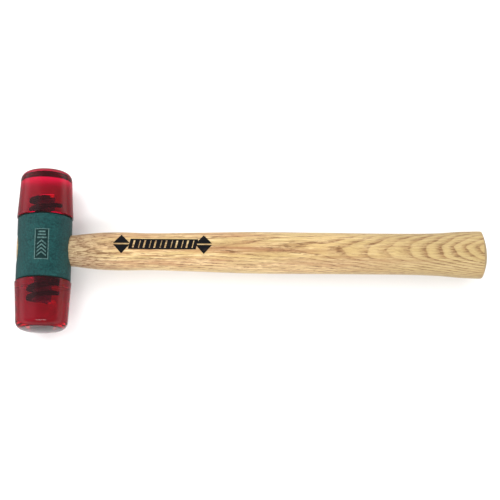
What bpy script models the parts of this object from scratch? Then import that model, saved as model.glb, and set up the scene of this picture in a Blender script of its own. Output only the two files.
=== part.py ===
"""A wooden-handled hammer with two screw-on plastic striking faces, lying on its side.

+X runs along the handle from the head to the butt, +Y along the head from one striking face
to the other, and +Z is up. The origin is on the floor, under the middle of the whole hammer.
"""

import math

import bmesh
import bpy
from mathutils import Matrix, Vector

MM = 0.001
GAP = 0.3 * MM  # between pieces that touch
TURN = 2 * math.pi

# The head casting: a plain drum with a threaded spigot at each end and an oval eye.
BODY_RADIUS = 17.25 * MM
BODY_HALF = 20.2 * MM
BODY_EDGE = 0.5 * MM
SPIGOT_LENGTH = 14.0 * MM
SPIGOT_CHAMFER = 0.8 * MM
EYE_HALF_HEIGHT = 10.2 * MM
EYE_HALF_THICKNESS = 7.1 * MM

# The thread that holds each striking face, single start and right handed.
PITCH = 6.0 * MM
CORE_RADIUS = 3.8 * MM
CREST_RADIUS = 6.9 * MM
RIDGE_ROOT = 3.2 * MM
RIDGE_CREST = 2.6 * MM
RIDGE_TURNS = 2.0
RIDGE_FADE = 0.2  # turns over which the ridge rises and dies away
RIDGE_START = 1.2 * MM  # from the drum's end to the middle of the ridge
RIDGE_ANGLE = math.radians(-50)  # where it starts, turning from +X about the way the spigot points
RIDGE_STEPS = 24  # a turn
THREAD_CLEARANCE = 0.25 * MM
SINK = 0.6 * MM  # how deep the ridge's foot stands in the core

# The thin washer that each striking face beds on.
WASHER_RADIUS = 17.3 * MM
WASHER_THICKNESS = 0.4 * MM
WASHER_GAP = 0.2 * MM

# The striking faces.
MOUTH = BODY_HALF + WASHER_THICKNESS + 2 * WASHER_GAP  # from the head's middle
MOUTH_RADIUS = 17.85 * MM
WAIST_RADIUS = 16.95 * MM  # the control point that bows the wall outwards
FACE_RADIUS = 16.35 * MM
FACE_CORNER = 5.0 * MM
FACE_REACH = 52.0 * MM  # from the head's middle to the middle of the striking face
FACE_CROWN = 1.0 * MM
BORE_DEPTH = SPIGOT_LENGTH + 5.0 * MM  # from the drum's end
BORE_CONE = 2.2 * MM

# The handle, as (distance from the head's axis, half height, half thickness).
HANDLE_STATIONS = (
    (-16.6, 9.9, 6.8),
    (16.5, 9.9, 6.8),
    (18.6, 10.05, 7.0),
    (25.0, 10.8, 7.5),
    (35.0, 11.8, 8.3),
    (49.0, 12.2, 8.8),
    (66.0, 11.85, 8.7),
    (90.0, 12.3, 9.1),
    (132.0, 13.35, 9.9),
    (180.0, 13.3, 10.1),
    (228.0, 13.25, 10.2),
    (251.0, 13.75, 10.6),
    (266.0, 14.9, 11.2),
    (278.0, 15.4, 11.5),
)
HANDLE_END = HANDLE_STATIONS[0][0] * MM
HANDLE_REACH = 283.8 * MM  # from the head's axis to the middle of the butt
BUTT_CORNER = 1.0 * MM
BUTT_CROWN = 3.2 * MM
HANDLE_SIDES = 32
HANDLE_STEP = 9.0 * MM
CROWN_RINGS = 6
SECTION_POWER = 2.25  # 2 is an ellipse, and more is squarer

# The wedges that spread the handle in the eye.
WOOD_WEDGE_LENGTH = 24.0 * MM
WOOD_WEDGE_THICKNESS = 3.0 * MM
WOOD_WEDGE_TIP = 0.8 * MM
STEEL_WEDGE_LENGTH = 14.0 * MM
STEEL_WEDGE_WIDTH = 9.0 * MM
STEEL_WEDGE_THICKNESS = 2.6 * MM
STEEL_WEDGE_TIP = 0.7 * MM

# The raised frame cast on the upper side of the drum.
BADGE_LENGTH = 20.0 * MM
BADGE_WIDTH = 9.0 * MM
BADGE_LINE = 0.7 * MM
BADGE_RISE = 0.3 * MM

# Where the head's axis and the handle's axis cross.
OVERALL_LENGTH = MOUTH_RADIUS + HANDLE_REACH
HEAD_CENTRE = Vector((MOUTH_RADIUS - OVERALL_LENGTH / 2, 0, MOUTH_RADIUS))
ROUND_SIDES = 56

OBJECT = "soft_faced_hammer"


def clear_scene():
    for old in list(bpy.data.objects):
        bpy.data.objects.remove(old, do_unlink=True)


def new_collection(name):
    made = bpy.data.collections.new(name)
    bpy.context.scene.collection.children.link(made)
    return made


def new_material(name, colour, roughness, metallic=0.0):
    made = bpy.data.materials.new(name)
    made.use_nodes = True
    shader = made.node_tree.nodes["Principled BSDF"]
    shader.inputs["Base Color"].default_value = (*colour, 1)
    shader.inputs["Roughness"].default_value = roughness
    shader.inputs["Metallic"].default_value = metallic
    made.diffuse_color = (*colour, 1)
    return made


def mesh_from(name, shape):
    """A mesh made from a bmesh, which is freed."""
    mesh = bpy.data.meshes.new(name)
    shape.to_mesh(mesh)
    shape.free()
    return mesh


def place(name, mesh, collection, matrix=None, material=None):
    made = bpy.data.objects.new(name, mesh)
    collection.objects.link(made)
    made.matrix_world = matrix or Matrix.Translation(HEAD_CENTRE)
    if material:
        mesh.materials.append(material)
    return made


def hide_tool(tool):
    tool.hide_render = True
    tool.display_type = "WIRE"
    return tool


def boolean(target, tool, operation):
    step = target.modifiers.new(tool.name, "BOOLEAN")
    step.operation = operation
    step.solver = "EXACT"
    step.object = tool


def smooth(target, degrees=35):
    target.data.shade_smooth()
    target.data.set_sharp_from_angle(angle=math.radians(degrees))


def along_head(side):
    """The placing that turns a shape made along +Z to run from the head's middle towards side * Y."""
    return Matrix.Translation(HEAD_CENTRE) @ Matrix.Rotation(-side * TURN / 4, 4, "X")


def turned(name, profile, collection, matrix, material=None):
    """A solid of revolution about Z, from (radius, height) points running down the outer side."""
    shape = bmesh.new()
    points = [shape.verts.new((radius, 0, height)) for radius, height in profile]
    for upper, lower in zip(points, points[1:]):
        shape.edges.new((upper, lower))
    made = place(name, mesh_from(name, shape), collection, matrix, material)
    screw = made.modifiers.new("turn", "SCREW")
    screw.steps = screw.render_steps = ROUND_SIDES
    screw.use_merge_vertices = True
    screw.merge_threshold = 0.00001
    return made


def ridge_section(turned_by, start, turns, grow, fades):
    """The four corners of the thread ridge after some turning, grown outwards by a clearance."""
    rise = 1.0
    if fades:
        nearest = min(turned_by, TURN * turns - turned_by) / (TURN * RIDGE_FADE)
        rise = 0.2 + 0.8 * math.sin(TURN / 4 * min(1.0, nearest))
    height = (CREST_RADIUS - CORE_RADIUS) * rise
    slope = (RIDGE_ROOT - RIDGE_CREST) / (CREST_RADIUS - CORE_RADIUS) / 2
    crest_half = RIDGE_CREST / 2 * rise + grow
    foot_half = crest_half + slope * (height + SINK)
    middle = start + PITCH * turned_by / TURN
    corners = (
        (CORE_RADIUS - SINK, middle - foot_half),
        (CORE_RADIUS + height + grow, middle - crest_half),
        (CORE_RADIUS + height + grow, middle + crest_half),
        (CORE_RADIUS - SINK, middle + foot_half),
    )
    angle = RIDGE_ANGLE + turned_by
    return [
        Vector((radius * math.cos(angle), radius * math.sin(angle), along))
        for radius, along in corners
    ]


def thread_ridge(name, collection, matrix, start, turns, grow=0.0, fades=True):
    """A right-handed helical ridge about Z, closed at both ends: sections joined in a ring of quads."""
    steps = round(turns * RIDGE_STEPS)
    angles = [TURN * turns * step / steps for step in range(steps + 1)]
    sections = [ridge_section(angle, start, turns, grow, fades) for angle in angles]
    return hide_tool(loft(name, sections, collection, matrix))


def smooth_value(stations, column, distance):
    """A column of the stations at a distance, by a cubic that keeps each station's mean slope."""
    slopes = []
    for index in range(len(stations)):
        low = stations[max(index - 1, 0)]
        high = stations[min(index + 1, len(stations) - 1)]
        slopes.append((high[column] - low[column]) / (high[0] - low[0]))
    for index in range(len(stations) - 1):
        low, high = stations[index], stations[index + 1]
        if distance <= high[0]:
            break
    span = high[0] - low[0]
    t = min(max((distance - low[0]) / span, 0.0), 1.0)
    rise = (3 - 2 * t) * t * t
    bend = t * (1 - t) * span
    value = low[column] + (high[column] - low[column]) * rise
    return value + bend * ((1 - t) * slopes[index] - t * slopes[index + 1])


def handle_size(distance):
    """Half height and half thickness of the handle at a distance in metres from the head's axis."""
    return [smooth_value(HANDLE_STATIONS, column, distance / MM) * MM for column in (1, 2)]


def oval(half_height, half_thickness, distance, sides, power=SECTION_POWER):
    """The points of a squared oval across the handle, in the plane at a distance along +X."""
    points = []
    for side in range(sides):
        angle = TURN * side / sides
        across, up = math.cos(angle), math.sin(angle)
        y = math.copysign(abs(across) ** (2 / power), across) * half_height
        z = math.copysign(abs(up) ** (2 / power), up) * half_thickness
        points.append(Vector((distance, y, z)))
    return points


def loft(name, sections, collection, matrix=None, material=None):
    """A closed solid through sections with the same number of points each."""
    shape = bmesh.new()
    rings = [[shape.verts.new(point) for point in section] for section in sections]
    for first, second in zip(rings, rings[1:]):
        for index in range(len(first)):
            after = (index + 1) % len(first)
            shape.faces.new((first[index], first[after], second[after], second[index]))
    shape.faces.new(reversed(rings[0]))
    shape.faces.new(rings[-1])
    bmesh.ops.recalc_face_normals(shape, faces=shape.faces)
    return place(name, mesh_from(name, shape), collection, matrix, material)


def tapered_plate(name, length, wide, thick, tip, turned_flat, collection, material=None):
    """A wedge driven along +X from the handle's end. turned_flat lays its width along Z, not Y."""
    shape = bmesh.new()
    bmesh.ops.create_cube(shape, size=1)
    for corner in shape.verts:
        at_tip = corner.co.x > 0
        across = corner.co.y * wide
        through = corner.co.z * (tip if at_tip else thick)
        x = HANDLE_END + (length if at_tip else 0)
        corner.co = (x, -through, across) if turned_flat else (x, across, through)
    return place(name, mesh_from(name, shape), collection, material=material)


def make_casting(parts, tools):
    """The painted casting: drum, two threaded spigots, eye and raised frame."""
    tip = BODY_HALF + SPIGOT_LENGTH
    half = [
        (0, tip),
        (CORE_RADIUS - SPIGOT_CHAMFER, tip),
        (CORE_RADIUS, tip - SPIGOT_CHAMFER),
        (CORE_RADIUS, BODY_HALF),
        (BODY_RADIUS - BODY_EDGE, BODY_HALF),
        (BODY_RADIUS, BODY_HALF - BODY_EDGE),
    ]
    profile = half + [(radius, -height) for radius, height in reversed(half)]
    paint = new_material("green_enamel", (0.035, 0.115, 0.105), 0.35)
    casting = turned("head_casting", profile, parts, along_head(1), paint)
    for side, end in ((1, "upper"), (-1, "lower")):
        start = BODY_HALF + RIDGE_START
        ridge = thread_ridge(f"ridge_{end}", tools, along_head(side), start, RIDGE_TURNS)
        boolean(casting, ridge, "UNION")
    frame = make_badge_frame(tools)
    boolean(casting, frame, "UNION")
    reach = 2 * BODY_RADIUS
    eye = loft(
        "eye_cutter",
        [oval(EYE_HALF_HEIGHT, EYE_HALF_THICKNESS, x, HANDLE_SIDES) for x in (-reach, reach)],
        tools,
    )
    boolean(casting, hide_tool(eye), "DIFFERENCE")
    smooth(casting)
    return casting


def make_badge_frame(tools):
    """A rectangular ring that stands out of the drum's upper side, following its curve."""
    shell = turned(
        "badge_shell",
        [
            (BODY_RADIUS + BADGE_RISE, BADGE_LENGTH),
            (BODY_RADIUS + BADGE_RISE, -BADGE_LENGTH),
            (BODY_RADIUS - BADGE_RISE, -BADGE_LENGTH),
            (BODY_RADIUS - BADGE_RISE, BADGE_LENGTH),
            (BODY_RADIUS + BADGE_RISE, BADGE_LENGTH),
        ],
        tools,
        along_head(1),
    )
    blocks = []
    for name, shrink in (("badge_block", 0), ("badge_middle", 2 * BADGE_LINE)):
        shape = bmesh.new()
        bmesh.ops.create_cube(shape, size=1)
        size = (BADGE_WIDTH - shrink, BADGE_LENGTH - shrink, BODY_RADIUS)
        bmesh.ops.scale(shape, vec=size, verts=shape.verts)
        bmesh.ops.translate(shape, vec=(0, 0, BODY_RADIUS), verts=shape.verts)
        blocks.append(hide_tool(place(name, mesh_from(name, shape), tools)))
    boolean(shell, blocks[0], "INTERSECT")
    boolean(shell, blocks[1], "DIFFERENCE")
    return hide_tool(shell)


def face_profile():
    """The striking face's outer side, from the middle of the crown down to the mouth."""
    corner_middle = FACE_REACH - FACE_CROWN - FACE_CORNER
    flat = FACE_RADIUS - FACE_CORNER
    points = [(0, FACE_REACH), (flat / 2, FACE_REACH)]
    for step in range(6):
        angle = TURN / 4 * (1 - step / 5)
        radius = flat + FACE_CORNER * math.cos(angle)
        points.append((radius, corner_middle + FACE_CORNER * math.sin(angle)))
    for step in range(1, 6):
        t = step / 5
        radius = (1 - t) ** 2 * FACE_RADIUS + 2 * t * (1 - t) * WAIST_RADIUS + t * t * MOUTH_RADIUS
        points.append((radius, corner_middle + (MOUTH - corner_middle) * t))
    points.append((0, MOUTH))
    return points


def make_striking_face(side, end, parts, tools, plastic):
    face = turned(f"striking_face_{end}", face_profile(), parts, along_head(side), plastic)
    bore = CORE_RADIUS + THREAD_CLEARANCE
    bottom = BODY_HALF + BORE_DEPTH
    drill = turned(
        f"bore_{end}",
        [(0, bottom), (bore - BORE_CONE, bottom), (bore, bottom - BORE_CONE), (bore, 0), (0, 0)],
        tools,
        along_head(side),
    )
    lead = 1.0  # turns that the groove runs on past the ridge's first end, out of the mouth
    start = BODY_HALF + RIDGE_START - PITCH * lead
    groove = thread_ridge(
        f"groove_{end}",
        tools,
        along_head(side),
        start,
        RIDGE_TURNS + lead,
        THREAD_CLEARANCE,
        fades=False,
    )
    boolean(face, hide_tool(drill), "DIFFERENCE")
    boolean(face, groove, "DIFFERENCE")
    smooth(face)
    return face


def make_washer(side, end, parts, fibre):
    low = BODY_HALF + WASHER_GAP
    high = low + WASHER_THICKNESS
    hole = CREST_RADIUS + GAP
    profile = [(hole, high), (WASHER_RADIUS, high), (WASHER_RADIUS, low), (hole, low), (hole, high)]
    washer = turned(f"bedding_washer_{end}", profile, parts, along_head(side), fibre)
    smooth(washer)
    return washer


def handle_sections():
    """The shaft's sections, from the end in the eye to the tight corner and crown of the butt."""
    last = HANDLE_REACH - BUTT_CROWN - BUTT_CORNER
    steps = round((last - HANDLE_END) / HANDLE_STEP)
    sections = []
    for step in range(steps + 1):
        distance = HANDLE_END + (last - HANDLE_END) * step / steps
        sections.append(oval(*handle_size(distance), distance, HANDLE_SIDES))
    height, thickness = handle_size(last)
    for share in (0.4, 0.8):
        angle = TURN / 4 * share
        inset = BUTT_CORNER * (1 - math.cos(angle))
        crown_start = last + BUTT_CORNER * math.sin(angle)
        sections.append(oval(height - inset, thickness - inset, crown_start, HANDLE_SIDES))
    height -= inset
    thickness -= inset
    tip = 1 / CROWN_RINGS
    for ring in range(1, CROWN_RINGS):
        share = 1 - ring * tip
        fall = (share ** 2 - tip ** 2) / (1 - tip ** 2)
        distance = HANDLE_REACH - (HANDLE_REACH - crown_start) * fall
        sections.append(oval(height * share, thickness * share, distance, HANDLE_SIDES))
    return sections


def make_handle(parts, tools):
    """The ash handle, sawn at its end for the wooden wedge and split across by the steel one."""
    ash = new_material("ash_wood", (0.68, 0.46, 0.24), 0.45)
    handle = loft("handle", handle_sections(), parts, material=ash)
    kerf = tapered_plate(
        "kerf_cutter",
        WOOD_WEDGE_LENGTH + 2 * GAP,
        4 * EYE_HALF_HEIGHT,
        WOOD_WEDGE_THICKNESS + 2 * GAP,
        WOOD_WEDGE_TIP + 2 * GAP,
        False,
        tools,
    )
    split = steel_cutter(tools)
    for tool in (kerf, split):
        boolean(handle, hide_tool(tool), "DIFFERENCE")
    smooth(handle)
    return handle


def steel_cutter(tools):
    return tapered_plate(
        "split_cutter",
        STEEL_WEDGE_LENGTH + 2 * GAP,
        STEEL_WEDGE_WIDTH + 2 * GAP,
        STEEL_WEDGE_THICKNESS + 2 * GAP,
        STEEL_WEDGE_TIP + 2 * GAP,
        True,
        tools,
    )


def make_wedges(parts, tools):
    hornbeam = new_material("wedge_wood", (0.55, 0.38, 0.2), 0.6)
    steel = new_material("wedge_steel", (0.32, 0.32, 0.33), 0.4, 1.0)
    wooden = tapered_plate(
        "wooden_wedge",
        WOOD_WEDGE_LENGTH,
        2 * (HANDLE_STATIONS[0][1] * MM - GAP),
        WOOD_WEDGE_THICKNESS,
        WOOD_WEDGE_TIP,
        False,
        parts,
        hornbeam,
    )
    boolean(wooden, bpy.data.objects["split_cutter"], "DIFFERENCE")
    tapered_plate(
        "steel_wedge",
        STEEL_WEDGE_LENGTH,
        STEEL_WEDGE_WIDTH,
        STEEL_WEDGE_THICKNESS,
        STEEL_WEDGE_TIP,
        True,
        parts,
        steel,
    )


def main():
    clear_scene()
    parts = new_collection(OBJECT)
    tools = new_collection("cutters")
    make_casting(parts, tools)
    plastic = new_material("red_acetate", (0.42, 0.02, 0.045), 0.12)
    fibre = new_material("washer_fibre", (0.02, 0.018, 0.018), 0.8)
    for side, end in ((1, "upper"), (-1, "lower")):
        make_striking_face(side, end, parts, tools, plastic)
        make_washer(side, end, parts, fibre)
    make_handle(parts, tools)
    make_wedges(parts, tools)


main()
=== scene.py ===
import math

import bmesh
import bpy
from mathutils import Matrix, Vector


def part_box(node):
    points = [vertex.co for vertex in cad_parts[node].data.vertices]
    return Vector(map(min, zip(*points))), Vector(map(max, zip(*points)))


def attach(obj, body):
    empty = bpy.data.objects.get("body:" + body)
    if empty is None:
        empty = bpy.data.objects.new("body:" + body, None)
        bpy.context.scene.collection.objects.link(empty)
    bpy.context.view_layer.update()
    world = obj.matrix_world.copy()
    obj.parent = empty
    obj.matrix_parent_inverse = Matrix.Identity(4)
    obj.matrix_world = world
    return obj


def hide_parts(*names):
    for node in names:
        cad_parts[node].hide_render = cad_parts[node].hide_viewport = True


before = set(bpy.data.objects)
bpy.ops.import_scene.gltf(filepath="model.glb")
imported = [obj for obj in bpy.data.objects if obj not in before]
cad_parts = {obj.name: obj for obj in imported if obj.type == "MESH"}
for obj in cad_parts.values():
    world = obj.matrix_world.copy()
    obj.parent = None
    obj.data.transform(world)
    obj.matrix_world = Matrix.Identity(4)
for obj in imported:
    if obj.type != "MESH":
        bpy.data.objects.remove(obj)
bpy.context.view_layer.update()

MM = 0.001
TURN = 2 * math.pi

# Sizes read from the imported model.
face_low, face_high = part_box("striking_face_upper")
drum_low, drum_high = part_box("head_casting")
handle_low, handle_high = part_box("handle")
washer_low, washer_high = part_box("bedding_washer_upper")
wood_low, wood_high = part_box("wooden_wedge")
steel_low, steel_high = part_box("steel_wedge")
HEAD = Vector(((face_low.x + face_high.x) / 2, 0, (face_low.z + face_high.z) / 2))
MOUTH_RADIUS = (face_high.x - face_low.x) / 2
MOUTH = face_low.y
FACE_REACH = face_high.y
BODY_RADIUS = (drum_high.x - drum_low.x) / 2
SPIGOT_END = drum_high.y
HANDLE_END = handle_low.x - HEAD.x
HANDLE_REACH = handle_high.x - HEAD.x
WASHER_RADIUS = (washer_high.x - washer_low.x) / 2

# Sizes repeated from the CAD part.
BODY_HALF = 20.2 * MM
PITCH = 6.0 * MM
CORE_RADIUS = 3.8 * MM
CREST_RADIUS = 6.9 * MM
RIDGE_ROOT = 3.2 * MM
RIDGE_CREST = 2.6 * MM
RIDGE_TURNS = 2.0
RIDGE_FADE = 0.2
RIDGE_START = 1.2 * MM
RIDGE_ANGLE = math.radians(-50)
WAIST_RADIUS = 16.95 * MM
FACE_RADIUS = 16.35 * MM
FACE_CORNER = 5.0 * MM
FACE_CROWN = 1.0 * MM
BADGE_LENGTH = 20.0 * MM
BADGE_WIDTH = 9.0 * MM
BADGE_RISE = 0.3 * MM
WOOD_WEDGE = (24.0 * MM, 3.0 * MM, 0.8 * MM)  # length, thickness at the end and at the tip
STEEL_WEDGE = (14.0 * MM, 2.6 * MM, 0.7 * MM)
HANDLE_STATIONS = (  # distance from the head's axis, half height and half thickness, in mm
    (-16.6, 9.9, 6.8),
    (16.5, 9.9, 6.8),
    (18.6, 10.05, 7.0),
    (25.0, 10.8, 7.5),
    (35.0, 11.8, 8.3),
    (49.0, 12.2, 8.8),
    (66.0, 11.85, 8.7),
    (90.0, 12.3, 9.1),
    (132.0, 13.35, 9.9),
    (180.0, 13.3, 10.1),
    (228.0, 13.25, 10.2),
    (251.0, 13.75, 10.6),
    (266.0, 14.9, 11.2),
    (278.0, 15.4, 11.5),
)
SECTION_POWER = 2.25
BUTT_CORNER = 1.0 * MM
BUTT_CROWN = 3.2 * MM

# Sizes of this finer model alone.
EYE_HALF_HEIGHT = 10.0 * MM
EYE_HALF_THICKNESS = 6.92 * MM
LIP_RADIUS = 0.4 * MM
BADGE_LINE = 0.75 * MM
BADGE_SINK = 0.2 * MM
SPIGOT_CHAMFER = 0.7 * MM
RIDGE_LEAD = 0.25  # turns by which the ridge starts sooner than the CAD's, out of the drum's end
RIDGE_ROUNDING = 0.45 * MM
RIDGE_SINK = 0.6 * MM
FADE_FLOOR = 0.2  # share of the ridge's height left at its faded end
THREAD_FIT = 0.02 * MM  # how much smaller the plastic's groove is than the ridge it grips
KERF_FIT = 0.05 * MM
WEDGE_EDGE = 0.15 * MM
ROUND_SIDES = 144
EYE_SIDES = 96
HANDLE_SIDES = 88
HANDLE_STEP = 2 * MM
CROWN_RINGS = 12
RIDGE_STEPS = 72  # in each turn
SMOOTH_ANGLE = 35  # degrees; sharper edges stay sharp
HANDLE_ANGLE = 40

# The studio.
FLOOR_SIZE = 2.4
FOCAL_LENGTH = 92.3
CAMERA_PLACE = HEAD + Vector((84.5, -207.5, 792.8)) * MM
CAMERA_TARGET = HEAD + Vector((130.8, 1.8, 0)) * MM
CAMERA_ROLL = math.radians(-0.26)
LIGHTS = (  # name, place, size, power, shows in reflections
    ("left", (-0.80, 0.30, 0.80), (1.2, 1.2), 12.5, False),
    ("top", (0.15, 0.95, 0.90), (1.6, 1.0), 10.0, False),
    ("right", (0.95, -0.10, 0.80), (1.0, 1.2), 3.5, False),
    ("bottom", (0.10, -0.95, 0.80), (1.6, 1.0), 11.0, False),
    ("strip", (-0.10, -0.60, 0.80), (0.8, 0.16), 2.0, True),
)
# Each lobe fades with the cosine of the angle to its direction, between two cosines, from the
# first strength to the second.
WORLD_LOBES = (
    ((0, 0, 1), (0.0, 0.4, 0.95, 0.32)),  # bright at the horizon, dimmer overhead
    ((0, 0, -1), (0.12, 0.35, 0.0, -0.55)),  # dim well below the horizon, for reflections
    ((0, -0.25, -0.97), (0.86, 0.97, 0.0, 0.55)),  # a patch that lights the lower face's end
    ((-0.76, 0.22, 0.61), (0.75, 1.0, 0.0, 0.30)),  # a soft glow on the left
)


# ---------------------------------------------------------------- meshes

def place(name, shape, matrix=None, angle=SMOOTH_ANGLE):
    """An object from a bmesh, with round parts shaded smooth."""
    mesh = bpy.data.meshes.new(name)
    bmesh.ops.recalc_face_normals(shape, faces=shape.faces)
    shape.to_mesh(mesh)
    shape.free()
    made = bpy.data.objects.new(name, mesh)
    bpy.context.scene.collection.objects.link(made)
    mesh.transform(matrix or Matrix.Translation(HEAD))
    shade(made, angle)
    return made


def shade(made, angle=SMOOTH_ANGLE):
    """Smooth shading, with edges sharper than the angle, in degrees, left sharp."""
    made.data.shade_smooth()
    made.data.set_sharp_from_angle(angle=math.radians(angle))


def loft(name, sections, matrix=None, angle=SMOOTH_ANGLE):
    """A closed solid through sections with the same number of points each."""
    shape = bmesh.new()
    rings = [[shape.verts.new(point) for point in section] for section in sections]
    for first, second in zip(rings, rings[1:]):
        for index in range(len(first)):
            after = (index + 1) % len(first)
            shape.faces.new((first[index], first[after], second[after], second[index]))
    shape.faces.new(reversed(rings[0]))
    shape.faces.new(rings[-1])
    return place(name, shape, matrix, angle)


def apply_modifiers(made):
    """Replaces the object's mesh by what its modifiers make of it."""
    depsgraph = bpy.context.evaluated_depsgraph_get()
    finished = bpy.data.meshes.new_from_object(made.evaluated_get(depsgraph))
    made.modifiers.clear()
    made.data = finished


def combine(target, tool, operation, overlaps_itself=False):
    """Joins the tool to the target or cuts it out, and removes the tool."""
    step = target.modifiers.new(operation, "BOOLEAN")
    step.operation = operation
    step.solver = "EXACT"
    step.object = tool
    step.use_self = overlaps_itself
    apply_modifiers(target)
    bpy.data.objects.remove(tool, do_unlink=True)


def along_head(side):
    """Turns a shape made along +Z to run from the head's middle towards side * Y."""
    return Matrix.Translation(HEAD) @ Matrix.Rotation(-side * TURN / 4, 4, "X")


def circle(radius, height):
    """A ring of points about Z."""
    angles = [TURN * side / ROUND_SIDES for side in range(ROUND_SIDES)]
    return [Vector((radius * math.cos(a), radius * math.sin(a), height)) for a in angles]


def arc(centre, radius, first, last, steps):
    """Points (x, y) on an arc, with angles in quarter turns."""
    points = []
    for step in range(steps + 1):
        angle = TURN / 4 * (first + (last - first) * step / steps)
        points.append((centre[0] + radius * math.cos(angle), centre[1] + radius * math.sin(angle)))
    return points


def revolve(name, profile, matrix):
    """A solid of revolution about Z from (radius, height) points, capped flat at both ends."""
    return loft(name, [circle(radius, height) for radius, height in profile], matrix)


def ridge_section(turned_by, turns, start, grow, lead, fades):
    """The ridge's outline where it has turned by an angle; a fading one is lower near its end."""
    rise = 1.0
    if fades:
        left = (TURN * turns - turned_by) / (TURN * RIDGE_FADE)
        rise = FADE_FLOOR + (1 - FADE_FLOOR) * math.sin(TURN / 4 * min(1.0, left))
    height = (CREST_RADIUS - CORE_RADIUS) * rise + grow
    slope = (RIDGE_ROOT - RIDGE_CREST) / (CREST_RADIUS - CORE_RADIUS) / 2
    crest_half = RIDGE_CREST / 2 * rise + grow
    rounding = RIDGE_ROUNDING * rise
    middle = start + PITCH * turned_by / TURN
    half = [(CORE_RADIUS - RIDGE_SINK, crest_half + slope * (height + RIDGE_SINK))]
    half += [(CORE_RADIUS + height - rounding + x, crest_half - rounding + y)
             for x, y in arc((0, 0), rounding, 1, 0, 3)]
    corners = [(radius, middle - across) for radius, across in half]
    corners += [(radius, middle + across) for radius, across in reversed(half)]
    angle = RIDGE_ANGLE + turned_by - TURN * lead
    return [Vector((r * math.cos(angle), r * math.sin(angle), z)) for r, z in corners]


def thread_ridge(name, matrix, lead=RIDGE_LEAD, grow=0.0, fades=True):
    """The helical ridge, or the groove for it, led back past the CAD ridge's first end."""
    turns = RIDGE_TURNS + lead
    start = BODY_HALF + RIDGE_START - PITCH * lead
    steps = round(turns * RIDGE_STEPS)
    angles = [TURN * turns * step / steps for step in range(steps + 1)]
    return loft(name, [ridge_section(a, turns, start, grow, lead, fades) for a in angles], matrix)


def oval(half_height, half_thickness, distance, sides):
    """A superellipse, between an ellipse and a rounded oblong, across the handle's axis."""
    points = []
    for side in range(sides):
        angle = TURN * side / sides
        across, up = math.cos(angle), math.sin(angle)
        y = math.copysign(abs(across) ** (2 / SECTION_POWER), across) * half_height
        z = math.copysign(abs(up) ** (2 / SECTION_POWER), up) * half_thickness
        points.append(Vector((distance, y, z)))
    return points


def smooth_value(column, distance):
    """A column of the handle's stations at a distance, by a cubic that keeps the mean slopes."""
    stations = HANDLE_STATIONS
    slopes = []
    for index in range(len(stations)):
        low = stations[max(index - 1, 0)]
        high = stations[min(index + 1, len(stations) - 1)]
        slopes.append((high[column] - low[column]) / (high[0] - low[0]))
    for index in range(len(stations) - 1):
        low, high = stations[index], stations[index + 1]
        if distance <= high[0]:
            break
    span = high[0] - low[0]
    t = min(max((distance - low[0]) / span, 0.0), 1.0)
    rise = (3 - 2 * t) * t * t
    bend = t * (1 - t) * span
    value = low[column] + (high[column] - low[column]) * rise
    return value + bend * ((1 - t) * slopes[index] - t * slopes[index + 1])


def handle_size(distance):
    """The shaft's half height and half thickness at a distance from the head's axis."""
    return [smooth_value(column, distance / MM) * MM for column in (1, 2)]


# ---------------------------------------------------------------- pieces

def make_casting():
    """The drum with its spigots, eye and cast badge."""
    edge = 0.6 * MM
    root = 0.5 * MM
    smallest = 0.2 * MM
    half = [(smallest, SPIGOT_END)]
    half += [(CORE_RADIUS - SPIGOT_CHAMFER, SPIGOT_END), (CORE_RADIUS, SPIGOT_END - SPIGOT_CHAMFER)]
    half += arc((CORE_RADIUS + root, BODY_HALF + root), root, 2, 3, 4)
    half += arc((BODY_RADIUS - edge, BODY_HALF - edge), edge, 1, 0, 5)
    profile = half + [(radius, -height) for radius, height in reversed(half)]
    casting = revolve("casting", profile, along_head(1))
    for side in (1, -1):
        combine(casting, thread_ridge("ridge", along_head(side)), "UNION")
    combine(casting, eye_cutter(), "DIFFERENCE")
    combine(casting, make_badge_field(), "DIFFERENCE")
    combine(casting, make_badge(), "UNION", overlaps_itself=True)
    shade(casting)
    return casting


def eye_cutter():
    """A cutter for the eye, with a rounded lip where it leaves the curved wall."""
    steps = 6
    clear = 2 * MM
    sections = []
    for end in (-1, 1):
        rings = []
        for step in range(steps + 1):
            angle = TURN / 4 * step / steps
            grow = LIP_RADIUS * (1 - math.cos(angle))
            depth = LIP_RADIUS * (1 - math.sin(angle))
            rings.append(lip_ring(end, grow, depth))
        outside = end * (BODY_RADIUS + clear)
        rings.append([Vector((outside, point.y, point.z)) for point in rings[-1]])
        sections += reversed(rings) if end < 0 else rings
    return loft("eye", sections)


def lip_ring(end, grow, depth):
    """The eye's outline grown outwards, at a depth under the drum's curved surface."""
    points = []
    for point in oval(EYE_HALF_HEIGHT + grow, EYE_HALF_THICKNESS + grow, 0, EYE_SIDES):
        surface = math.sqrt(max(BODY_RADIUS ** 2 - point.z ** 2, 0))
        points.append(Vector((end * (surface - depth), point.y, point.z)))
    return points


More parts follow.
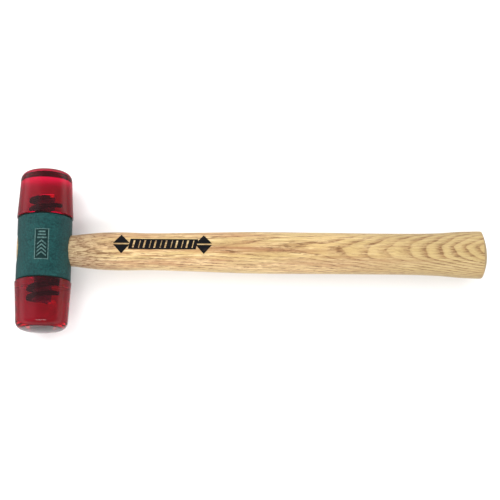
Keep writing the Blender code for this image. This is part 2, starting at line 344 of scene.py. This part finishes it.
def face_profile():
    """The striking face's outer side, from the crown to the mouth."""
    crown_steps = 8
    corner_steps = 14
    side_steps = 14
    smallest = 0.3 * MM
    mouth_edge = 0.35 * MM
    mouth_bevel = 0.1 * MM
    corner_middle = FACE_REACH - FACE_CROWN - FACE_CORNER
    crown_radius = FACE_RADIUS - FACE_CORNER
    points = [(smallest, FACE_REACH)]
    for step in range(1, crown_steps + 1):
        t = step / crown_steps
        points.append((crown_radius * t, FACE_REACH - FACE_CROWN * t * t))
    points += arc((crown_radius, corner_middle), FACE_CORNER, 1, 0, corner_steps)[1:]
    for step in range(1, side_steps + 1):
        t = step / side_steps
        radius = (1 - t) ** 2 * FACE_RADIUS + 2 * t * (1 - t) * WAIST_RADIUS + t * t * MOUTH_RADIUS
        points.append((radius, corner_middle + (MOUTH - corner_middle) * t))
    widest = points[-1][0]
    points[-1] = (widest, MOUTH + mouth_edge)
    points += [(widest - mouth_bevel, MOUTH + mouth_bevel), (widest - mouth_edge, MOUTH)]
    points.append((smallest, MOUTH))
    return points


def make_face(name, side):
    """A striking face, with a threaded bore that hugs the spigot."""
    face = revolve(name, face_profile(), along_head(side))
    clear = 2 * MM
    bore = CORE_RADIUS - THREAD_FIT
    drill = [(bore, BODY_HALF - clear), (bore, SPIGOT_END - SPIGOT_CHAMFER)]
    drill.append((bore - SPIGOT_CHAMFER, SPIGOT_END))
    combine(face, revolve("drill", drill, along_head(side)), "DIFFERENCE")
    groove = thread_ridge("groove", along_head(side), lead=1.0, grow=-THREAD_FIT, fades=False)
    combine(face, groove, "DIFFERENCE")
    shade(face)
    return face


def make_washer(name, side):
    """The thin ring between the drum and a striking face."""
    low, high = washer_low.y, washer_high.y
    edge = 0.1 * MM
    hole = CREST_RADIUS + 0.3 * MM
    outer = [(hole, high), (WASHER_RADIUS - edge, high), (WASHER_RADIUS, high - edge)]
    outer += [(WASHER_RADIUS, low + edge), (WASHER_RADIUS - edge, low), (hole, low)]
    shape = bmesh.new()
    rings = [[shape.verts.new(point) for point in circle(r, z)] for r, z in outer]
    rings.append(rings[0])
    for first, second in zip(rings, rings[1:]):
        for index in range(ROUND_SIDES):
            after = (index + 1) % ROUND_SIDES
            shape.faces.new((first[index], first[after], second[after], second[index]))
    return place(name, shape, along_head(side))


def handle_sections():
    """The shaft's sections, from the chamfer in the eye to the crowned butt."""
    sides = HANDLE_SIDES
    chamfer = 0.4 * MM
    first = HANDLE_END + chamfer
    last = HANDLE_REACH - BUTT_CROWN - BUTT_CORNER
    height, thickness = handle_size(HANDLE_END)
    sections = [oval(height - chamfer, thickness - chamfer, HANDLE_END, sides)]
    steps = round((last - first) / HANDLE_STEP)
    for step in range(steps + 1):
        distance = first + (last - first) * step / steps
        sections.append(oval(*handle_size(distance), distance, sides))
    height, thickness = handle_size(last)
    for across, along in arc((0, 0), BUTT_CORNER, 0, 0.8, 6)[1:]:
        inset = BUTT_CORNER - across
        sections.append(oval(height - inset, thickness - inset, last + along, sides))
    crown_start = last + along
    height, thickness = height - inset, thickness - inset
    tip = 1 / CROWN_RINGS
    for ring in range(1, CROWN_RINGS):
        share = 1 - ring * tip
        fall = (share ** 2 - tip ** 2) / (1 - tip ** 2)
        distance = HANDLE_REACH - (HANDLE_REACH - crown_start) * fall
        sections.append(oval(height * share, thickness * share, distance, sides))
    return sections


def make_handle():
    """The shaft, with its end slit for the two crossed wedges."""
    handle = loft("handle_ash", handle_sections(), angle=HANDLE_ANGLE)
    combine(handle, wood_wedge("kerf", KERF_FIT), "DIFFERENCE")
    combine(handle, steel_wedge("kerf", KERF_FIT), "DIFFERENCE")
    shade(handle, HANDLE_ANGLE)
    return handle


def wedge_section(size, half_width, share, grow, inset):
    """The eight corners (wide, thin) of a wedge's section at a share of its length."""
    thick, thin = size[1:]
    edge = WEDGE_EDGE
    half = (thick + (thin - thick) * share) / 2 + grow - inset
    wide = half_width + grow - inset
    corners = ((wide, half - edge), (wide - edge, half), (edge - wide, half), (-wide, half - edge))
    return corners + tuple((-y, -z) for y, z in corners)


def wedge(name, size, half_width, upright, grow):
    """A tapered plate driven in from the handle's end; an upright one is thin along Y.

    With a grow it is the cutter for the wedge's kerf, which starts outside the handle's end.
    """
    shares = (0.0, 0.02, 0.25, 0.5, 0.75, 0.96, 1.0)
    if grow:
        shares = (-0.04,) + shares
    sections = []
    for share in shares:
        inset = WEDGE_EDGE if share in (0.0, 1.0) and not grow else 0.0
        along = HANDLE_END + size[0] * share + (grow if share == 1.0 else 0)
        corners = wedge_section(size, half_width, share, grow, inset)
        sections.append([Vector((along, z, y) if upright else (along, y, z)) for y, z in corners])
    return loft(name, sections)


def wood_wedge(name, grow=0.0):
    return wedge(name, WOOD_WEDGE, (wood_high.y - wood_low.y) / 2, False, grow)


def steel_wedge(name, grow=0.0):
    return wedge(name, STEEL_WEDGE, (steel_high.z - steel_low.z) / 2, True, grow)


def make_wood_wedge():
    """The wooden wedge, slit for the steel one."""
    piece = wood_wedge("wedge_of_wood")
    combine(piece, steel_wedge("kerf", KERF_FIT), "DIFFERENCE")
    return piece


def slab(rows, surface, rise, sink, profile):
    """The sections of a low pad on a curved surface, to loft.

    Each row is a pair of (x, y) ends; the profile gives (share across, share of the rise).
    """
    sections = []
    steps = 6
    for first, second in zip(rows, rows[1:]):
        for step in range(steps + 1):
            if step == 0 and sections:
                continue
            t = step / steps
            left, right = [Vector(a).lerp(Vector(b), t) for a, b in zip(first, second)]
            upper = []
            lower = []
            for share, height in profile:
                x, y = left.lerp(right, share)
                upper.append(Vector((x, y, surface(x, y) + rise * height)))
                lower.append(Vector((x, y, surface(x, y) - sink)))
            sections.append(upper + lower[::-1])
    return sections


def join(name, solids):
    """One object from several lofted solids."""
    shape = bmesh.new()
    for index, sections in enumerate(solids):
        part = loft(f"{name}_{index}", sections, Matrix.Translation(HEAD))
        shape.from_mesh(part.data)
        bpy.data.objects.remove(part, do_unlink=True)
    return place(name, shape, Matrix.Identity(4))


def drum_surface(x, y):
    """The drum's height over the head's axis; y is there to match handle_surface."""
    return math.sqrt(BODY_RADIUS ** 2 - x ** 2)


def handle_surface(x, y):
    """The handle's height over the head's axis, at a distance x along it."""
    height, thickness = handle_size(x)
    share = min(abs(y) / height, 1.0)
    return thickness * (1 - share ** SECTION_POWER) ** (1 / SECTION_POWER)


# Profiles across a slab, as (share across, share of the rise).
ROUNDED = ((0.0, 0.3), (0.14, 0.8), (0.32, 1.0), (0.68, 1.0), (0.86, 0.8), (1.0, 0.3))
FLAT = tuple((share / 8, 1.0) for share in range(9))


def make_badge_field():
    """A cutter for the sunk field inside the badge's frame."""
    half_x = BADGE_WIDTH / 2 - BADGE_LINE / 2
    half_y = BADGE_LENGTH / 2 - BADGE_LINE / 2
    clear = 1.0 * MM
    rows = (((-half_x, -half_y), (half_x, -half_y)), ((-half_x, half_y), (half_x, half_y)))
    profile = tuple((share / 12, 1.0) for share in range(13))
    return loft("field", slab(rows, drum_surface, clear, BADGE_SINK, profile))


def make_badge():
    """The cast badge: a raised frame round chevrons and bars, a design of no maker's."""
    half_x = BADGE_WIDTH / 2
    half_y = BADGE_LENGTH / 2
    line = BADGE_LINE
    overlap = 0.2 * MM
    strokes = []
    for side in (-1, 1):
        outer, inner = side * half_x, side * (half_x - line)
        strokes.append((((outer, -half_y), (inner, -half_y)), ((outer, half_y), (inner, half_y))))
        outer, inner = side * half_y, side * (half_y - line)
        reach = half_x - overlap
        strokes.append((((-reach, outer), (-reach, inner)), ((reach, outer), (reach, inner))))
    arm = 2.9 * MM
    wide = 1.25 * MM
    past = 0.1 * MM  # how far each arm of a chevron runs past the middle
    for place_at in (-7.6, -5.2, -2.8, -0.4):
        high = place_at * MM + arm * 0.7
        low = place_at * MM - arm * 0.2
        for side in (-1, 1):
            tip = (past * -side, high), (past * -side, high + wide)
            foot = (side * arm, low), (side * arm, low + wide)
            strokes.append((tip, foot))
    for index, place_at in enumerate((3.4, 5.3, 7.2)):
        reach = (2.9 - 0.4 * index) * MM
        y = place_at * MM
        strokes.append((((-reach, y), (-reach, y + wide)), ((reach, y), (reach, y + wide))))
    rise = BADGE_RISE * 0.98
    sink = 0.4 * MM
    return join("badge", [slab(rows, drum_surface, rise, sink, ROUNDED) for rows in strokes])


def make_mark():
    """The black printed mark, of no maker's: a band of slanted strokes between split lozenges."""
    low, high = -0.65 * MM, 6.3 * MM
    first, last = 54.0 * MM, 94.5 * MM
    middle = (low + high) / 2
    slant = 1.7 * MM
    line = 1.0 * MM
    solids = []
    for edge in (low, high - line):
        shift = slant * (edge - low) / (high - low)
        left = (first + shift, edge), (first + shift, edge + line)
        right = (last + shift, edge), (last + shift, edge + line)
        solids.append((left, right))
    count = 12
    pitch = (last - first) / count
    overhang = 0.9 * MM
    for index in range(count + 1):
        x = first + pitch * index - overhang
        wide = (2.85 if index % 2 else 2.3) * MM
        solids.append((((x, low), (x + wide, low)), ((x + slant, high), (x + wide + slant, high))))
    reach = 5.1 * MM
    tall = 6.4 * MM
    tip = 0.12 * MM
    split = 0.45 * MM
    for centre in (49.0 * MM, 101.0 * MM):
        for up in (-1, 1):
            near = middle + up * split
            rows = []
            for along, far in ((-reach, split + tip), (0, tall), (reach, split + tip)):
                ends = sorted((near, middle + up * far))
                rows.append(tuple((centre + along, y) for y in ends))
            solids.append(tuple(rows))
    rise, sink = 0.05 * MM, 0.12 * MM
    return join("printed_mark", [slab(rows, handle_surface, rise, sink, FLAT) for rows in solids])


# ---------------------------------------------------------------- scene

def make_floor():
    """The pale floor, which doesn't show in reflections."""
    bpy.ops.mesh.primitive_plane_add(size=FLOOR_SIZE, location=(0, 0, 0))
    floor = bpy.context.object
    floor.name = "floor"
    floor.visible_glossy = False
    floor.data.materials.append(paper_material())


def make_camera():
    """The photograph's view, from a camera fitted to the hammer's outline."""
    data = bpy.data.cameras.new("camera")
    data.lens = FOCAL_LENGTH
    camera = bpy.data.objects.new("camera", data)
    bpy.context.scene.collection.objects.link(camera)
    back = (CAMERA_PLACE - CAMERA_TARGET).normalized()
    right = Vector((0, 1, 0)).cross(back).normalized()
    right = Matrix.Rotation(CAMERA_ROLL, 3, back) @ right
    up = back.cross(right)
    turned = Matrix((right, up, back)).transposed().to_4x4()
    camera.matrix_world = Matrix.Translation(CAMERA_PLACE) @ turned
    bpy.context.scene.camera = camera


def area_light(name, place_at, size, power, seen):
    """A softbox aimed at the head; only a seen one shows in reflections."""
    data = bpy.data.lights.new(name, "AREA")
    data.shape = "RECTANGLE"
    data.size, data.size_y = size
    data.energy = power
    light = bpy.data.objects.new(name, data)
    bpy.context.scene.collection.objects.link(light)
    light.location = place_at
    light.visible_glossy = seen
    light.visible_transmission = False
    light.rotation_euler = (HEAD - Vector(place_at)).to_track_quat("-Z", "Y").to_euler()


def make_world():
    """The studio round the lights, as the sum of soft lobes of white light."""
    world = bpy.data.worlds.new("studio")
    bpy.context.scene.world = world
    world.use_nodes = True
    nodes, links = world.node_tree.nodes, world.node_tree.links
    direction = nodes.new("ShaderNodeTexCoord").outputs["Generated"]
    total = None
    for towards, limits in WORLD_LOBES:
        facing = nodes.new("ShaderNodeVectorMath")
        facing.operation = "DOT_PRODUCT"
        links.new(direction, facing.inputs[0])
        facing.inputs[1].default_value = towards
        fade = nodes.new("ShaderNodeMapRange")
        fade.interpolation_type = "SMOOTHSTEP"
        for index, value in enumerate(limits, 1):
            fade.inputs[index].default_value = value
        links.new(facing.outputs["Value"], fade.inputs[0])
        if total:
            both = nodes.new("ShaderNodeMath")
            links.new(total, both.inputs[0])
            links.new(fade.outputs[0], both.inputs[1])
            total = both.outputs[0]
        else:
            total = fade.outputs[0]
    background = nodes["Background"]
    background.inputs["Color"].default_value = (1, 1, 1, 1)
    links.new(total, background.inputs["Strength"])


class Graph:
    """Short ways to add and join the nodes of one material."""

    def __init__(self, name):
        self.material = bpy.data.materials.new(name)
        self.material.use_nodes = True
        self.tree = self.material.node_tree
        self.shader = self.tree.nodes["Principled BSDF"]

    def add(self, kind, inputs=(), **settings):
        """A node with its inputs given by name or number, as values or as sockets to join."""
        node = self.tree.nodes.new("ShaderNode" + kind)
        for name, value in settings.items():
            setattr(node, name, value)
        for key, value in dict(inputs).items():
            self.put(value, node.inputs[key])
        return node

    def put(self, value, socket):
        if isinstance(value, bpy.types.NodeSocket):
            self.tree.links.new(value, socket)
        elif isinstance(value, tuple) and len(value) == 3 and socket.type == "RGBA":
            socket.default_value = (*value, 1)
        else:
            socket.default_value = value

    def surface(self, **inputs):
        """Sets the shader's inputs, named with underscores for spaces."""
        for name, value in inputs.items():
            self.put(value, self.shader.inputs[name.replace("_", " ")])

    def position(self, origin=(0, 0, 0)):
        """The point's place in the object's own coordinates, from an origin."""
        place_at = self.add("TexCoord").outputs["Object"]
        return self.add("VectorMath", {0: place_at, 1: tuple(origin)}, operation="SUBTRACT").outputs[0]

    def stretch(self, vector, scale):
        return self.add("VectorMath", {0: vector, 1: scale}, operation="MULTIPLY").outputs[0]

    def split(self, vector):
        return self.add("SeparateXYZ", {0: vector}).outputs

    def maths(self, operation, first, second=0.0, clamp=False):
        node = self.add("Math", {0: first, 1: second}, operation=operation, use_clamp=clamp)
        return node.outputs[0]

    def times(self, first, second):
        return self.maths("MULTIPLY", first, second)

    def plus(self, first, second, clamp=False):
        return self.maths("ADD", first, second, clamp)

    def minus(self, first, second):
        return self.maths("SUBTRACT", first, second)

    def absolute(self, value):
        return self.maths("ABSOLUTE", value)

    def distance(self, first, second):
        """How far a point is from an axis, from its two offsets."""
        return self.maths("SQRT", self.plus(self.times(first, first), self.times(second, second)))

    def noise(self, vector, scale, detail, roughness):
        inputs = {"Vector": vector, "Scale": scale, "Detail": detail, "Roughness": roughness}
        return self.add("TexNoise", inputs).outputs["Fac"]

    def stretched_noise(self, vector, scale, detail, roughness):
        """Noise drawn out along the axes with the smaller scales."""
        return self.noise(self.stretch(vector, scale), 1.0, detail, roughness)

    def between(self, value, low, high, new_low=0.0, new_high=1.0):
        """The value's place between two limits, clamped and fitted to a new range."""
        inputs = {0: value, 1: low, 2: high, 3: new_low, 4: new_high}
        return self.add("MapRange", inputs).outputs[0]

    def mix(self, factor, first, second):
        """A colour between two others."""
        node = self.add("Mix", data_type="RGBA")
        for index, value in ((0, factor), (6, first), (7, second)):
            self.put(value, node.inputs[index])
        return node.outputs[2]

    def ramp(self, value, stops):
        """A colour ramp; the first two stops are the ramp's own two ends."""
        node = self.add("ValToRGB", {0: value})
        elements = node.color_ramp.elements
        for index, (place_at, colour) in enumerate(stops):
            element = elements[index] if index < 2 else elements.new(place_at)
            element.position = place_at
            element.color = (*colour, 1)
        return node.outputs[0]

    def bump(self, height, distance):
        inputs = {"Height": height, "Distance": distance, "Strength": 1.0}
        return self.add("Bump", inputs).outputs[0]


def enamel_material():
    """Green enamel over a cast surface, rubbed thinner on the badge's raised lines, which also carry a
    painted highlight, with painted shade in its pits and sunk badge field.
    """
    dark_green = (0.001, 0.024, 0.026)
    light_green = (0.008, 0.072, 0.070)
    pit_shade_green = (0.002, 0.018, 0.017)
    field_shade_green = (0.001, 0.010, 0.010)
    worn_and_highlight_green = (0.090, 0.165, 0.155)
    core_grey = (0.13, 0.12, 0.14)
    ridge_shade_black = (0.002, 0.002, 0.003)
    graph = Graph("green_enamel")
    place_at = graph.position(HEAD)
    cast = graph.noise(place_at, 900, 3, 0.55)
    pits = graph.noise(place_at, 2600, 2, 0.6)
    cloud = graph.noise(place_at, 120, 4, 0.6)
    across, along, up = graph.split(place_at)
    along = graph.absolute(along)
    radius = graph.distance(across, up)

    # The enamel, with painted shade in its pits and in the badge's sunk field, and lighter on the
    # raised lines, partly from rubbed paint and partly a painted highlight.
    grain = graph.plus(graph.times(cast, 0.65), graph.times(cloud, 0.35))
    green = graph.mix(graph.between(grain, 0.36, 0.64), dark_green, light_green)
    # Painted shade: darker green in the cast pits, where the bump is lowest.
    green = graph.mix(graph.between(pits, 0.25, 0.6, 0.55, 0.0), green, pit_shade_green)
    on_top = graph.between(up, BODY_RADIUS * 0.95, BODY_RADIUS * 0.955)
    in_badge = graph.between(along, BADGE_LENGTH * 0.51, BADGE_LENGTH * 0.5)
    low = graph.between(radius, BODY_RADIUS - 0.05 * MM, BODY_RADIUS - 0.12 * MM)
    sunk = graph.times(graph.times(on_top, in_badge), low)
    # Painted shade: the badge's sunk field made darker.
    green = graph.mix(graph.times(sunk, 0.75), green, field_shade_green)
    raised = graph.between(radius, BODY_RADIUS + 0.12 * MM, BODY_RADIUS + 0.26 * MM)
    # Lighter raised lines: partly rubbed paint, partly a painted highlight.
    wear_and_highlight = graph.times(raised, graph.between(cast, 0.35, 0.6, 0.35, 0.85))
    colour = graph.mix(wear_and_highlight, green, worn_and_highlight_green)

    # The bare spigots, with painted shade making the thread ridge darker than the core.
    inside = graph.between(along, BODY_HALF + 0.1 * MM, BODY_HALF + 0.3 * MM)
    ridge = graph.between(radius, CORE_RADIUS + 0.3 * MM, CORE_RADIUS + 0.8 * MM)
    colour = graph.mix(inside, colour, graph.mix(ridge, core_grey, ridge_shade_black))
    gloss = graph.between(cloud, 0.3, 0.7, 0.36, 0.48)
    height = graph.plus(cast, graph.times(pits, 0.35))
    graph.surface(
        Base_Color=colour,
        Roughness=graph.maths("MAXIMUM", gloss, graph.times(inside, 0.9)),
        Normal=graph.bump(height, 0.25 * MM),
        Specular_IOR_Level=0.35,
    )
    return graph.material


def acetate_material():
    """Clear red cellulose acetate, faintly hazy and lightly scuffed, more so where it strikes."""
    deep_red = (0.94, 0.022, 0.110)
    bright_red = (0.99, 0.028, 0.135)
    absorbing = {"Color": (0.99, 0.12, 0.74), "Density": 80.0}
    graph = Graph("red_acetate")
    place_at = graph.position(HEAD)
    cloud = graph.noise(place_at, 90, 3, 0.5)
    scuffs = graph.noise(graph.stretch(place_at, (1.0, 0.25, 1.0)), 700, 2, 0.6)
    along = graph.absolute(graph.split(place_at)[1])
    struck = graph.between(along, FACE_REACH - 2.5 * MM, FACE_REACH - 0.6 * MM, 0.0, 0.14)
    graph.surface(
        Base_Color=graph.mix(cloud, deep_red, bright_red),
        Roughness=graph.plus(struck, graph.between(scuffs, 0.3, 0.75, 0.04, 0.09)),
        Transmission_Weight=0.99,
        IOR=1.48,
        Normal=graph.bump(cloud, 0.03 * MM),
        Specular_IOR_Level=0.2,
    )
    volume = graph.add("VolumeAbsorption", absorbing)
    output = graph.tree.nodes["Material Output"]
    graph.tree.links.new(volume.outputs[0], output.inputs["Volume"])
    return graph.material


def washer_material():
    """Black fibre, with fine flecks."""
    black = (0.006, 0.006, 0.006)
    fleck = (0.03, 0.026, 0.024)
    graph = Graph("washer_fibre")
    flecks = graph.noise(graph.position(HEAD), 1800, 3, 0.7)
    graph.surface(
        Base_Color=graph.mix(graph.between(flecks, 0.45, 0.75), black, fleck),
        Roughness=graph.between(flecks, 0.3, 0.7, 0.7, 0.9),
        Normal=graph.bump(flecks, 0.03 * MM),
    )
    return graph.material


def ash_rings(graph, place_at):
    """The growth rings, from 0 in late wood to 1 in early wood.

    The pith lies above the handle and slopes down towards the butt, so the rings open into
    arches there.
    """
    slope_start = 0.085
    pith_height = 0.043
    pith_aside = 0.0025
    ring_width = 0.00165
    waves = graph.stretched_noise(place_at, (9.0, 45.0, 45.0), 2, 0.5)
    fine_waves = graph.stretched_noise(place_at, (30.0, 160.0, 160.0), 2, 0.5)
    along, across, up = graph.split(place_at)
    reach = graph.maths("MAXIMUM", graph.minus(along, slope_start), 0.0)
    drop = graph.times(graph.times(reach, reach), 0.42)
    below = graph.minus(graph.minus(pith_height, drop), up)
    distance = graph.distance(graph.minus(across, pith_aside), below)
    bent = graph.plus(distance, graph.times(waves, 0.0085))
    bent = graph.plus(bent, graph.times(fine_waves, 0.0009))
    ring = graph.maths("FRACT", graph.maths("DIVIDE", bent, ring_width))
    greys = ((0.0, 0.55), (1.0, 0.20), (0.08, 1.0), (0.30, 0.55), (0.55, 0.08), (0.85, 0.0))
    return graph.ramp(ring, [(stop, (grey, grey, grey)) for stop, grey in greys])


def ash_heart(graph, along, across, streaks):
    """The dark heart streak along the middle of the handle's top."""
    drift = graph.times(graph.minus(along, 0.150), 0.055)
    off_heart = graph.absolute(graph.plus(graph.plus(across, drift), 0.001))
    heart = graph.times(graph.between(off_heart, 0.010, 0.001), graph.between(along, 0.085, 0.135))
    heart = graph.times(heart, graph.between(along, 0.235, 0.165))
    return graph.times(heart, graph.between(streaks, 0.36, 0.56, 0.15, 1.0))


def ash_material(name):
    """Lacquered ash: growth rings, fibre, pores, streaks and a dark heart."""
    late_wood = (0.600, 0.410, 0.170)
    early_wood = (0.270, 0.112, 0.038)
    olive = (0.430, 0.330, 0.140)
    brown_streak = (0.360, 0.160, 0.068)
    pale_fibre = (0.830, 0.640, 0.350)
    painted_edge_highlight = (0.640, 0.480, 0.265)
    heart_brown = (0.300, 0.140, 0.062)
    butt_late, butt_early = (0.400, 0.300, 0.130), (0.240, 0.132, 0.052)
    shoulder_late, shoulder_early = (0.360, 0.275, 0.165), (0.220, 0.140, 0.075)
    pore_brown = (0.150, 0.066, 0.024)
    graph = Graph(name)
    place_at = graph.position(HEAD)
    along, across, up = graph.split(place_at)
    fibre = graph.stretched_noise(place_at, (45.0, 1000.0, 1000.0), 4, 0.7)
    pores = graph.stretched_noise(place_at, (200.0, 1400.0, 1400.0), 3, 0.65)
    streaks = graph.stretched_noise(place_at, (8.0, 130.0, 130.0), 3, 0.65)
    cloud = graph.stretched_noise(place_at, (25.0, 90.0, 90.0), 2, 0.5)
    tone = graph.stretched_noise(place_at, (22.0, 50.0, 50.0), 1, 0.5)

    rings = ash_rings(graph, place_at)
    early = graph.times(rings, graph.between(cloud, 0.3, 0.65, 0.45, 1.0))
    wood = graph.mix(early, late_wood, early_wood)
    wood = graph.mix(graph.between(tone, 0.35, 0.65, 0.0, 0.5), wood, olive)
    wood = graph.mix(graph.between(streaks, 0.46, 0.62, 0.0, 0.80), wood, brown_streak)
    wood = graph.mix(graph.between(fibre, 0.50, 0.62, 0.0, 0.70), wood, pale_fibre)
    # Painted highlight: the handle paler towards its edges along Y, standing in for light on its
    # rounded sides.
    edge = graph.between(graph.absolute(across), 0.006, 0.0125, 0.0, 0.35)
    wood = graph.mix(edge, wood, painted_edge_highlight)
    heart = ash_heart(graph, along, across, streaks)
    wood = graph.mix(graph.times(heart, 0.8), wood, heart_brown)
    butt = graph.between(along, 0.150, 0.240, 0.0, 0.7)
    wood = graph.mix(butt, wood, graph.mix(early, butt_late, butt_early))
    shoulder = graph.between(along, 0.052, 0.025, 0.0, 0.7)
    wood = graph.mix(shoulder, wood, graph.mix(early, shoulder_late, shoulder_early))
    porous = graph.plus(graph.between(early, 0.05, 0.8, 0.25, 1.0), shoulder, clamp=True)
    open_pore = graph.times(graph.between(pores, 0.50, 0.57), porous)
    wood = graph.mix(graph.times(open_pore, 0.85), wood, pore_brown)
    height = graph.minus(graph.times(fibre, 0.3), open_pore)
    graph.surface(
        Base_Color=wood,
        Roughness=graph.between(fibre, 0.3, 0.7, 0.42, 0.56),
        Normal=graph.bump(height, 0.06 * MM),
        Coat_Weight=0.1,
        Coat_Roughness=0.3,
    )
    return graph.material


def steel_material():
    """Blackened wedge steel with a brushed grain."""
    grey = (0.30, 0.29, 0.28)
    spot_brown = (0.14, 0.12, 0.11)
    graph = Graph("wedge_steel")
    place_at = graph.position(HEAD)
    grain = graph.stretched_noise(place_at, (400.0, 3000.0, 400.0), 3, 0.6)
    spots = graph.noise(place_at, 500, 3, 0.6)
    graph.surface(
        Base_Color=graph.mix(graph.between(spots, 0.4, 0.7), grey, spot_brown),
        Metallic=1.0,
        Roughness=graph.between(grain, 0.3, 0.7, 0.35, 0.55),
        Normal=graph.bump(grain, 0.03 * MM),
    )
    return graph.material


def ink_material():
    """Matt black printing, a little thin where the pores show through."""
    black = (0.003, 0.003, 0.004)
    thin_ink = (0.05, 0.03, 0.02)
    graph = Graph("ink")
    pores = graph.stretched_noise(graph.position(HEAD), (160.0, 2600.0, 2600.0), 2, 0.5)
    graph.surface(
        Base_Color=graph.mix(graph.between(pores, 0.60, 0.72, 0.0, 0.5), black, thin_ink),
        Roughness=graph.between(pores, 0.3, 0.7, 0.45, 0.6),
        Specular_IOR_Level=0.2,
    )
    return graph.material


def paper_material():
    """The pale floor, with the faintest tooth of paper."""
    tooth_grey = (0.90, 0.90, 0.90)
    paper_white = (0.93, 0.93, 0.93)
    graph = Graph("paper")
    tooth = graph.noise(graph.position(), 900, 2, 0.5)
    graph.surface(
        Base_Color=graph.mix(tooth, tooth_grey, paper_white),
        Roughness=0.9,
        Specular_IOR_Level=0.1,
    )
    return graph.material


def finish_piece(piece, body, material, nodes):
    """Gives a piece its material and tells the frame where it belongs."""
    piece.data.materials.clear()
    piece.data.materials.append(material)
    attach(piece, body)
    if nodes:
        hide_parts(*nodes)


make_camera()
make_floor()
make_world()
for light in LIGHTS:
    area_light(*light)
bpy.context.scene.view_settings.view_transform = "Standard"

ash = ash_material("ash")
finish_piece(make_casting(), "hammer", enamel_material(), ["head_casting"])
finish_piece(make_handle(), "hammer", ash, ["handle"])
finish_piece(make_mark(), "hammer", ink_material(), [])
finish_piece(make_wood_wedge(), "hammer", ash, ["wooden_wedge"])
steel_piece = steel_wedge("wedge_of_steel")
finish_piece(steel_piece, "hammer", steel_material(), ["steel_wedge"])
red = acetate_material()
black = washer_material()
for side, end in ((1, "upper"), (-1, "lower")):
    face = make_face(f"face_{end}", side)
    finish_piece(face, f"{end}_face", red, [f"striking_face_{end}"])
    washer = make_washer(f"washer_{end}", side)
    finish_piece(washer, f"{end}_washer", black, [f"bedding_washer_{end}"])
